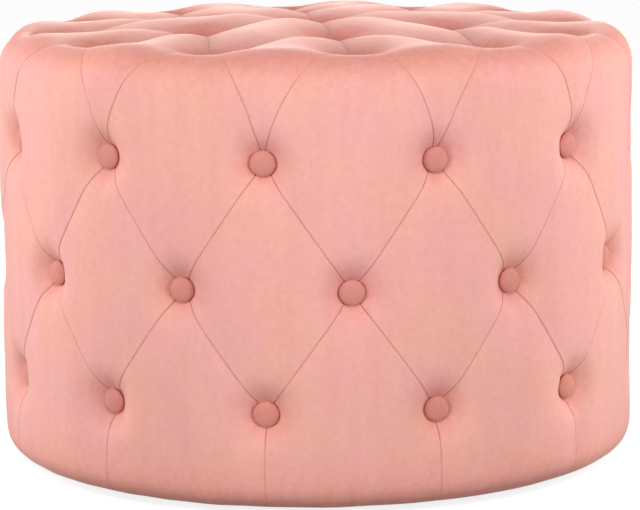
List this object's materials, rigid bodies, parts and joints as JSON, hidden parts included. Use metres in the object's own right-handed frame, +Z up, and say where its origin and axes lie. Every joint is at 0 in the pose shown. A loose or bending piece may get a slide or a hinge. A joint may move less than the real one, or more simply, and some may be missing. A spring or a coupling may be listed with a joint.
{
  "type": "tufted pouf",
  "caption": "Round upholstered floor pouf with diamond button tufting over the side and top, a padded wooden drum inside and low glides under the base.",
  "frame": {"origin": "on the floor under the middle of the pouf, level with the undersides of the glides", "axes": "+Z up along the pouf's axis, -Y towards the pictured front, +X to the right as seen from the front"},
  "size_m": [0.602, 0.602, 0.4102],
  "materials": {
    "velvet": "short-pile cut velvet, blush pink, soft sheen at grazing angles",
    "button_velvet": "the same velvet drawn tight over the button, so its pile lies darker",
    "polyester_fibre": "lofty white fibre",
    "foam": "open-cell upholstery foam, cream",
    "hardboard": "smooth brown hardboard",
    "plywood": "sanded poplar plywood",
    "pine": "planed pine",
    "dust_cloth": "black spunbond cloth",
    "glide_plastic": "black moulded plastic",
    "nylon": "natural nylon",
    "twine": "waxed upholstery twine",
    "zinc_steel": "zinc-plated steel"
  },
  "bodies": {
    "root": {"base_board": "plywood", "base_board_screws": "zinc_steel", "centre_top_button_shanks": "nylon", "centre_top_button_twine": "twine", "centre_top_buttons": "button_velvet", "centre_top_tie_washers": "nylon", "dust_cloth": "dust_cloth", "fibre_wadding": "polyester_fibre", "glide_1": "glide_plastic", "glide_2": "glide_plastic", "glide_3": "glide_plastic", "glide_4": "glide_plastic", "glide_5": "glide_plastic", "glide_6": "glide_plastic", "glide_screws": "zinc_steel", "inner_top_button_shanks": "nylon", "inner_top_button_twine": "twine", "inner_top_buttons": "button_velvet", "inner_top_tie_washers": "nylon", "lower_side_button_shanks": "nylon", "lower_side_button_twine": "twine", "lower_side_buttons": "button_velvet", "lower_side_tie_washers": "nylon", "middle_side_button_shanks": "nylon", "middle_side_button_twine": "twine", "middle_side_buttons": "button_velvet", "middle_side_tie_washers": "nylon", "outer_top_button_shanks": "nylon", "outer_top_button_twine": "twine", "outer_top_buttons": "button_velvet", "outer_top_tie_washers": "nylon", "side_foam": "foam", "side_wall": "hardboard", "top_board": "plywood", "top_board_screws": "zinc_steel", "top_foam": "foam", "upper_side_button_shanks": "nylon", "upper_side_button_twine": "twine", "upper_side_buttons": "button_velvet", "upper_side_tie_washers": "nylon", "upright_1": "pine", "upright_2": "pine", "upright_3": "pine", "upright_4": "pine", "upright_5": "pine", "upright_6": "pine", "velvet_cover": "velvet"}
  },
  "joints": []
}
